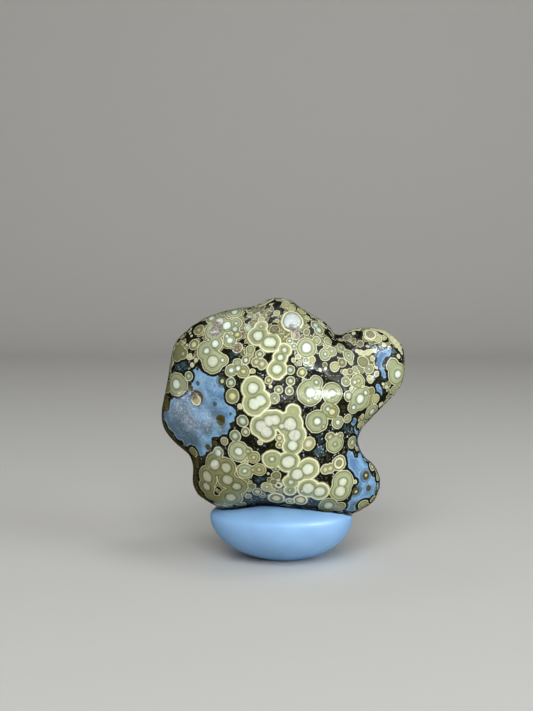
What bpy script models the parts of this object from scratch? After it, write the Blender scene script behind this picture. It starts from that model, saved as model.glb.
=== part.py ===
"""A gobi eye agate: one lumpy, wind-worn pebble, standing on a small pad of putty.

Metres, +Z up. The side with the eyes faces -Y. The stone is drawn square on as an
outline, blown up to its thickness, and given its lumps and hollows front and back.
"""

import math
from collections import namedtuple

import bmesh
import bpy
import numpy as np

MM = 0.001

# How the stone stands
LEAN = math.radians(7.0)
STONE_MIDDLE_HEIGHT = 18.4 * MM

# How thick the stone is
PLUMPNESS = 0.70
FRONT_SHARE = 1.04
BACK_SHARE = 0.94
FADE_DEPTH = 2.2 * MM

# The outline seen square on, in millimetres across and up from the stone's middle,
# clockwise from the top
STONE_OUTLINE = (
    (0.8, 13.1), (2.1, 12.1), (5.0, 10.4), (5.9, 9.5), (6.6, 8.4), (8.2, 9.5),
    (11.3, 9.8), (12.7, 9.3), (14.0, 8.4), (14.8, 7.3), (15.0, 4.5), (14.6, 2.9),
    (13.7, 1.5), (12.6, 0.4), (10.3, -1.9), (9.4, -3.0), (9.1, -4.1), (9.4, -5.2),
    (10.0, -6.2), (11.0, -6.9), (11.6, -7.9), (11.9, -9.1), (11.2, -11.5),
    (8.7, -13.0), (6.9, -13.4), (5.1, -13.3), (-1.4, -12.0), (-3.4, -12.0),
    (-5.3, -12.4), (-7.5, -12.4), (-9.2, -11.6), (-10.6, -10.5), (-11.1, -9.0),
    (-11.0, -7.4), (-11.5, -6.1), (-13.7, -4.2), (-14.7, -2.9), (-15.1, -1.2),
    (-14.8, 1.0), (-14.3, 3.2), (-13.7, 6.8), (-13.0, 8.3), (-11.7, 9.6),
    (-10.0, 10.8), (-7.9, 11.6), (-5.6, 12.1), (-3.6, 12.3), (-1.5, 13.3),
)
# Every point of the outline is in plain sight from here, so the rings never fold
OUTLINE_HEART = (1.0, 0.3)

# Lumps rise and hollows sink, in millimetres. Each fades out smoothly over its length and
# width, and its length is turned anticlockwise from level by so many degrees
Lump = namedtuple("Lump", "across up length width turn height")
FRONT_LUMPS = {
    "knob at the top": Lump(1.0, 10.6, 1.7, 1.5, 0, 1.1),
    "saddle beside the knob": Lump(-3.6, 10.4, 1.8, 1.4, 20, -0.7),
    "right shoulder": Lump(4.6, 8.0, 2.2, 1.6, -35, 0.7),
    "crease before the ear": Lump(8.4, 6.4, 3.0, 0.8, -55, -1.5),
    "left shoulder": Lump(-8.4, 6.4, 2.6, 2.4, 0, 0.7),
    "dent in the shoulder": Lump(-5.4, 6.6, 1.2, 1.7, 20, -0.5),
    "left facet": Lump(-10.2, -0.9, 2.6, 3.2, -20, -1.1),
    "belly": Lump(-1.4, -2.4, 4.6, 4.0, 0, 0.8),
    "brown hollow": Lump(5.1, 4.3, 2.0, 1.0, -30, -0.7),
    "bright ridge": Lump(4.8, 1.6, 2.4, 1.4, 0, 0.5),
    "blue hollow": Lump(4.6, -5.2, 1.2, 1.6, 0, -0.5),
    "right flank": Lump(7.6, 0.6, 1.4, 2.4, 0, 0.4),
    "left notch": Lump(-9.6, -5.6, 2.2, 1.0, 25, -0.9),
    "left foot": Lump(-7.2, -8.8, 2.4, 2.4, 0, 0.9),
    "right foot": Lump(9.8, -9.2, 1.8, 2.2, 0, 0.6),
    "groove over the right foot": Lump(7.6, -5.6, 1.0, 2.2, -30, -0.6),
    "toes": Lump(3.4, -9.6, 3.4, 1.6, 0, 0.5),
}
BACK_LUMPS = {
    "broad back": Lump(-2.6, 1.6, 5.0, 5.6, 0, 0.9),
    "back of the knob": Lump(0.4, 9.6, 1.8, 1.6, 0, 0.8),
    "valley": Lump(3.8, -3.4, 4.2, 1.8, 35, -1.5),
    "back of the right foot": Lump(8.6, -8.6, 2.4, 2.4, 0, 0.9),
    "dimple": Lump(4.6, 6.0, 1.8, 1.6, 0, -1.0),
    "left hip": Lump(-8.6, -3.6, 2.4, 3.4, 0, -0.9),
    "back of the left foot": Lump(-6.6, -9.0, 2.6, 1.8, 0, 0.6),
    "shallow dent": Lump(-5.4, 5.4, 1.7, 1.5, 20, -0.6),
    "lower dent": Lump(-1.6, -7.0, 2.2, 1.4, 25, -0.7),
    "boss": Lump(-9.4, 4.8, 1.6, 1.6, 0, 0.7),
}
# Bends move the whole thickness of the stone: back, away from the eyes, where the height
# is positive, and forward where it is negative
BENDS = {
    "ear": Lump(12.6, 5.6, 4.0, 4.6, 0, 1.7),
    "left shoulder": Lump(-9.6, 9.2, 4.4, 3.4, 20, 1.2),
    "left edge": Lump(-14.2, -1.6, 3.0, 4.6, 0, 1.5),
    "belly": Lump(-1.0, -3.4, 6.0, 5.0, 0, -0.9),
    "right foot": Lump(11.2, -9.4, 2.6, 3.4, 0, 1.0),
}

# The putty pad, a ball pressed flat below and dented by the stone above
PAD_WIDTH = 17.5 * MM
PAD_DEPTH = 15.6 * MM
PAD_BELT_HEIGHT = 5.3 * MM
PAD_CROWN_RISE = 1.9 * MM
PAD_BELLY_DROP = 5.9 * MM
PAD_TAPER = 1.12
PAD_BELT_PLACE = (-0.25 * MM, -1.3 * MM)
PAD_FOOT_PLACE = (0.1 * MM, -0.2 * MM)
PAD_DENTS = {
    "thumb press": Lump(-5.6, 0.0, 2.6, 2.6, 0, -0.18),
    "pinch": Lump(4.4, 3.0, 2.2, 2.2, 0, 0.16),
}
GAP = 0.3 * MM

# How finely things are made
SPAN_STEPS = 6
GUIDE_RINGS = 96
FILM_STEP = 0.3 * MM
FILM_TURNS = 420
FILM_OVER_RELAX = 1.94
SPREAD_TURNS = 8
FACET = 0.84 * MM
EASE_TURNS = 12
FINISH_TURNS = 2
PAD_SEGMENTS = 40
PAD_RINGS = 11


def clear_scene():
    for thing in list(bpy.data.objects):
        bpy.data.objects.remove(thing, do_unlink=True)


# Drawing and blowing up the outline


def closed_spline(points, steps):
    """A smooth closed curve through the points, with so many steps from each to the next."""
    before = np.roll(points, 1, axis=0)
    after = np.roll(points, -1, axis=0)
    beyond = np.roll(points, -2, axis=0)
    spans = []
    for t in np.arange(steps) / steps:
        straight = 2 * points + (after - before) * t
        bend = (2 * before - 5 * points + 4 * after - beyond) * t**2
        twist = (3 * points - before - 3 * after + beyond) * t**3
        spans.append((straight + bend + twist) / 2)
    return np.stack(spans, axis=1).reshape(-1, 2)


def distance_to(outline, places):
    """How far each place is from the closed outline."""
    nearest = np.full(len(places), np.inf)
    for start, end in zip(outline, np.roll(outline, -1, axis=0)):
        side = end - start
        share = np.clip((places - start) @ side / (side @ side), 0.0, 1.0)
        gap = places - start - share[:, None] * side
        nearest = np.minimum(nearest, (gap**2).sum(axis=1))
    return np.sqrt(nearest)


def inside(outline, places):
    """True where a place is inside the closed outline."""
    across, up = places.T
    found = np.zeros(len(places), bool)
    for (x1, y1), (x2, y2) in zip(outline, np.roll(outline, -1, axis=0)):
        if y1 == y2:
            continue
        crosses = (y1 > up) != (y2 > up)
        found ^= crosses & (across < x1 + (up - y1) * (x2 - x1) / (y2 - y1))
    return found


def neighbours(grid):
    """The sum of each cell's four neighbours."""
    return sum(np.roll(grid, step, axis) for axis in (0, 1) for step in (-1, 1))


def soap_film(within):
    """The height of a film that is blown up evenly within its frame and held at zero beyond it."""
    film = np.zeros(within.shape)
    parity = np.indices(within.shape).sum(axis=0) % 2
    halves = (within & (parity == 0), within & (parity == 1))
    for _ in range(FILM_TURNS):
        for half in halves:
            settled = (neighbours(film) + FILM_STEP**2) / 4
            film[half] += FILM_OVER_RELAX * (settled - film)[half]
    return film


def spread_outwards(values, known):
    """Carries known values into the unknown cells around them."""
    values = np.where(known, values, 0.0)
    for _ in range(SPREAD_TURNS):
        counts = neighbours(known.astype(float))
        edge = ~known & (counts > 0)
        values[edge] = (neighbours(values)[edge]) / counts[edge]
        known = known | edge
    return values


def read_grid(grid, corner, places):
    """The grid's value at each place, read evenly between its cells."""
    cell = (places - corner) / FILM_STEP
    low = np.floor(cell).astype(int)
    part = cell - low
    total = 0.0
    for right in (0, 1):
        for up in (0, 1):
            share = np.abs(1 - right - part[:, 0]) * np.abs(1 - up - part[:, 1])
            total = total + share * grid[low[:, 0] + right, low[:, 1] + up]
    return total


def half_thickness(outline, places):
    """Half the thickness of the stone at each place: a film's height, rounded over at the rim."""
    margin = 4 * FILM_STEP
    corner = outline.min(axis=0) - margin
    counts = np.ceil((outline.max(axis=0) + margin - corner) / FILM_STEP).astype(int) + 1
    cells = np.stack(np.indices(counts), axis=-1).reshape(-1, 2) * FILM_STEP + corner
    within = inside(outline, cells).reshape(counts)
    depth = distance_to(outline, cells).reshape(counts)
    film = soap_film(within)
    # Next to the rim the grid is coarse, so there the height is the slope times the distance
    sound = within & (depth > 2 * FILM_STEP)
    slope = spread_outwards(film / np.maximum(depth, FILM_STEP), sound)
    rim = distance_to(outline, places)
    near = rim * read_grid(slope, corner, places)
    far = read_grid(film, corner, places)
    blend = ease((rim - 2 * FILM_STEP) / (2 * FILM_STEP))
    height = near + blend * (far - near)
    return 2 * PLUMPNESS * np.sqrt(np.maximum(height, 0.0))


def ease(share):
    """Goes smoothly from 0 to 1."""
    share = np.clip(share, 0.0, 1.0)
    return share**2 * (3 - 2 * share)


def relief(lumps, places):
    """The height of all the lumps together at each place."""
    total = np.zeros(len(places))
    for lump in lumps.values():
        turn = math.radians(lump.turn)
        away = places - np.array((lump.across, lump.up)) * MM
        along = (away[:, 0] * math.cos(turn) + away[:, 1] * math.sin(turn)) / (lump.length * MM)
        aside = (away[:, 1] * math.cos(turn) - away[:, 0] * math.sin(turn)) / (lump.width * MM)
        total += lump.height * MM * np.exp(-(along**2 + aside**2) / 2)
    return total


# Making the stone


def stone_points():
    """Rings of points from the middle of the front, over the rim, to the middle of the back."""
    outline = closed_spline(np.array(STONE_OUTLINE) * MM, SPAN_STEPS)
    heart = np.array(OUTLINE_HEART) * MM
    turns = np.linspace(0.0, math.pi, GUIDE_RINGS + 1)
    reach = np.sin(turns)[:, None, None]
    places = heart + reach * (outline - heart)[None]
    flat = places.reshape(-1, 2)
    thick = half_thickness(outline, flat)
    fade = ease(thick / FADE_DEPTH)
    middle = relief(BENDS, flat)
    front = middle - FRONT_SHARE * thick - fade * relief(FRONT_LUMPS, flat)
    back = middle + BACK_SHARE * thick + fade * relief(BACK_LUMPS, flat)
    is_front = np.repeat(turns < math.pi / 2, len(outline))
    depth = np.where(is_front, front, back)
    points = np.stack((flat[:, 0], depth, flat[:, 1]), axis=1)
    return points.reshape(len(turns), len(outline), 3)


def mesh_from_rings(name, rings, start_is_point, end_is_point):
    """A closed mesh over rings of points. An end closes in one point, or in one flat face."""
    bm = bmesh.new()
    rows = []
    for index, ring in enumerate(rings):
        shrunk = (index == 0 and start_is_point) or (index == len(rings) - 1 and end_is_point)
        if shrunk:
            rows.append([bm.verts.new(ring.mean(axis=0))])
        else:
            rows.append([bm.verts.new(point) for point in ring])
    for low, high in zip(rows, rows[1:]):
        count = max(len(low), len(high))
        for i in range(count):
            j = (i + 1) % count
            if len(low) == 1:
                bm.faces.new((low[0], high[j], high[i]))
            elif len(high) == 1:
                bm.faces.new((low[i], low[j], high[0]))
            else:
                bm.faces.new((low[i], low[j], high[j], high[i]))
    for row in (rows[0], rows[-1]):
        if len(row) > 1:
            for edge in bm.faces.new(row).edges:
                edge.smooth = False
    bmesh.ops.recalc_face_normals(bm, faces=bm.faces)
    mesh = bpy.data.meshes.new(name)
    bm.to_mesh(mesh)
    bm.free()
    mesh.shade_smooth()
    return mesh


def add_object(name, mesh, parent):
    thing = bpy.data.objects.new(name, mesh)
    bpy.context.scene.collection.objects.link(thing)
    thing.parent = parent
    return thing


def make_helper(thing):
    thing.hide_render = True
    thing.display_type = "WIRE"


def even_facets(thing, guide):
    """Gives the object facets of one size that lie on the guide's surface."""
    remesh = thing.modifiers.new("Even facets", "REMESH")
    remesh.mode = "VOXEL"
    remesh.voxel_size = FACET
    remesh.use_smooth_shade = True
    relax = thing.modifiers.new("Ease", "SMOOTH")
    relax.factor = 0.5
    relax.iterations = EASE_TURNS
    wrap = thing.modifiers.new("Back to the surface", "SHRINKWRAP")
    wrap.wrap_method = "NEAREST_SURFACEPOINT"
    wrap.target = guide
    finish = thing.modifiers.new("Finish", "SMOOTH")
    finish.factor = 0.5
    finish.iterations = FINISH_TURNS


def stand(thing):
    """Leans a thing drawn square on back, and lifts it to the stone's place."""
    thing.location = (0.0, 0.0, STONE_MIDDLE_HEIGHT)
    thing.rotation_euler = (-LEAN, 0.0, 0.0)


def make_agate(specimen):
    mesh = mesh_from_rings("agate", stone_points(), True, True)
    guide = add_object("agate_guide", mesh, specimen)
    stand(guide)
    make_helper(guide)
    agate = add_object("agate", mesh.copy(), specimen)
    stand(agate)
    even_facets(agate, guide)
    agate.data.materials.append(material("eye agate", (0.44, 0.44, 0.29), 0.22))
    return agate, guide


# Making the pad


def pad_rings():
    """Rings from the flat foot of the pad, round its belt, to the crown."""
    foot_turn = math.asin(-PAD_BELT_HEIGHT / PAD_BELLY_DROP)
    turns = np.linspace(foot_turn, math.pi / 2, PAD_RINGS + 1)
    angles = np.arange(PAD_SEGMENTS) * (2 * math.pi / PAD_SEGMENTS)
    belt_place = np.array(PAD_BELT_PLACE)
    foot_place = np.array(PAD_FOOT_PLACE)
    rings = []
    for turn in turns:
        rise = PAD_BELLY_DROP if turn < 0 else PAD_CROWN_RISE
        height = PAD_BELT_HEIGHT + rise * math.sin(turn)
        sunk = max(0.0, 1 - height / PAD_BELT_HEIGHT)
        place = belt_place + sunk**2 * (foot_place - belt_place)
        share = math.cos(turn) ** (PAD_TAPER if turn < 0 else 1.0)
        x = place[0] + PAD_WIDTH / 2 * share * np.cos(angles)
        y = place[1] + PAD_DEPTH / 2 * share * np.sin(angles)
        flat = np.stack((x, y), axis=1)
        swell = 1 + relief(PAD_DENTS, flat) * math.cos(turn) / (PAD_WIDTH / 2)
        flat = place + (flat - place) * swell[:, None]
        rings.append(np.column_stack((flat, np.full(PAD_SEGMENTS, height))))
    rings[0][:, 2] = 0.0
    return rings


def make_putty_pad(specimen, agate, guide):
    imprint = add_object("agate_imprint", agate.data, specimen)
    stand(imprint)
    even_facets(imprint, guide)
    grow = imprint.modifiers.new("Room for the stone", "DISPLACE")
    grow.mid_level = 0.0
    grow.strength = GAP
    make_helper(imprint)
    pad = add_object("putty_pad", mesh_from_rings("putty_pad", pad_rings(), False, True), specimen)
    press = pad.modifiers.new("Press of the stone", "BOOLEAN")
    press.operation = "DIFFERENCE"
    press.solver = "EXACT"
    press.object = imprint
    pad.data.materials.append(material("blue putty", (0.30, 0.47, 0.74), 0.45))
    return pad


def material(name, colour, roughness):
    made = bpy.data.materials.new(name)
    made.use_nodes = True
    shader = made.node_tree.nodes["Principled BSDF"]
    shader.inputs["Base Color"].default_value = (*colour, 1.0)
    shader.inputs["Roughness"].default_value = roughness
    shader.inputs["Metallic"].default_value = 0.0
    return made


# Putting it together


def world_box(things):
    """The lowest and highest corners of the things as they are drawn."""
    bpy.context.view_layer.update()
    graph = bpy.context.evaluated_depsgraph_get()
    corners = []
    for thing in things:
        shown = thing.evaluated_get(graph)
        mesh = shown.to_mesh()
        corners += [shown.matrix_world @ vertex.co for vertex in mesh.vertices]
        shown.to_mesh_clear()
    corners = np.array(corners)
    return corners.min(axis=0), corners.max(axis=0)


def main():
    clear_scene()
    specimen = add_object("specimen", None, None)
    agate, guide = make_agate(specimen)
    pad = make_putty_pad(specimen, agate, guide)
    low, high = world_box((agate, pad))
    middle = (low + high) / 2
    specimen.location = (-middle[0], -middle[1], -low[2])


main()
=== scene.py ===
"""The finish of a gobi eye agate on its putty pad: ringed eyes, blue chalcedony and a soft studio."""
import math
from collections import namedtuple

import bpy
import numpy as np
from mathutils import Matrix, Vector, noise
from mathutils.bvhtree import BVHTree


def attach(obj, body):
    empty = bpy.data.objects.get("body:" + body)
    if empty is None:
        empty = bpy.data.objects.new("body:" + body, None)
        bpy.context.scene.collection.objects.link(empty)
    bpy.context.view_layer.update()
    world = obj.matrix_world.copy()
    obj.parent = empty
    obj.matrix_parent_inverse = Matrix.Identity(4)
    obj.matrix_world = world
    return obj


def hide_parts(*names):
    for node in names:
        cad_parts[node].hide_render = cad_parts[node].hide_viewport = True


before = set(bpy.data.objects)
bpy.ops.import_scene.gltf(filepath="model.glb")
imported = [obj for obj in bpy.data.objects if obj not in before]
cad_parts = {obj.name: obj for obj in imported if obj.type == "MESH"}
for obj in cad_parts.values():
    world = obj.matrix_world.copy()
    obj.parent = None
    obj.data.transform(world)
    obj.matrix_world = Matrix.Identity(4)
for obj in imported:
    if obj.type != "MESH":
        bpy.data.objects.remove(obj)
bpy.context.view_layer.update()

MM = 0.001

# The camera looks a little down at the stone, which fills about half of the picture's width
STONE_MIDDLE = Vector((0.000042, 0.001043, 0.0184))
VIEW_DISTANCE = 0.150
VIEW_DOWN = math.radians(7.0)
SIGHT = Vector((0.0, math.cos(VIEW_DOWN), -math.sin(VIEW_DOWN)))
CAMERA_PLACE = STONE_MIDDLE - SIGHT * VIEW_DISTANCE
PICTURE_WIDTH = 533
PICTURE_HEIGHT = 711
FOCAL_PIXELS = 1225.0
STONE_COLUMN = 283.5
STONE_ROW = 406.5
SENSOR = 36.0

# Kinds of eye: band and core are sRGB colours. The other values are strengths from 0 to 1: the pale rim,
# the broad cream ring of the bold eyes, flecks in the core, a pale ring round the core, the dark line
# under the rim and the black halo round the eye.
KIND_DEFAULTS = (1.0, 0.0, 0.2, 0.0, 1.0, 1.0)
Kind = namedtuple("Kind", "band core rim bold flecks ring line halo", defaults=KIND_DEFAULTS)
KINDS = {
    "PLAIN": Kind((163, 168, 127), (216, 219, 192)),
    # White cores; in the upper-left cluster this whiteness is partly a painted highlight on glossy cores.
    "WHITE": Kind((163, 169, 131), (232, 240, 224)),
    "YELLOW": Kind((160, 161, 112), (220, 218, 162), flecks=0.1),
    "BLUISH": Kind((154, 163, 127), (200, 218, 204), flecks=0.1),
    "BOLD": Kind((162, 166, 120), (222, 228, 204), bold=1.0),
    "SPOTTED": Kind((160, 164, 121), (214, 215, 194), bold=1.0, flecks=0.7),
    "CREAMY": Kind((180, 178, 130), (218, 215, 180), flecks=0.3, line=0.6),
    "CREAM": Kind((208, 206, 162), (228, 228, 204), flecks=0.0, line=0.7),
    "BROWNISH": Kind((138, 131, 92), (190, 186, 140), rim=0.8, flecks=0.3),
    # Flat dark olive-brown: a brown strip along the left edge, and painted shade along the lower-left edge.
    "BROWN": Kind((86, 80, 44), (74, 64, 36), rim=0.0, flecks=0.0, line=0.0, halo=0.0),
    "DARK": Kind((84, 80, 50), (206, 208, 176), rim=0.0, flecks=0.0, line=0.0, halo=0.4),
    # Darker olive eyes; at the lower left their darkness is partly painted shade.
    "OLIVE": Kind((132, 133, 92), (190, 192, 160), rim=0.9),
    "RINGED": Kind((160, 162, 116), (146, 142, 108), flecks=0.4, ring=1.0),
    "HOLLOW": Kind((172, 172, 126), (74, 68, 46), flecks=0.0, ring=1.0, line=0.5),
    "RUSTY": Kind((96, 82, 54), (178, 172, 122), rim=0.0, flecks=0.6, ring=1.0, line=0.0, halo=0.2),
    "FAINT": Kind((84, 104, 104), (104, 124, 130), rim=0.0, flecks=0.0, line=0.0, halo=0.0),
    "PITTED": Kind((160, 166, 128), (216, 214, 204), flecks=1.0),
    "KNOB": Kind((160, 166, 126), (204, 211, 206), bold=1.0, flecks=0.8),
    "WARM": Kind((156, 143, 90), (238, 220, 166), bold=1.0),
    "PINK": Kind((204, 192, 172), (226, 216, 204), flecks=1.0, line=0.6),
}
KIND_NAMES = list(KINDS)

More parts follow.
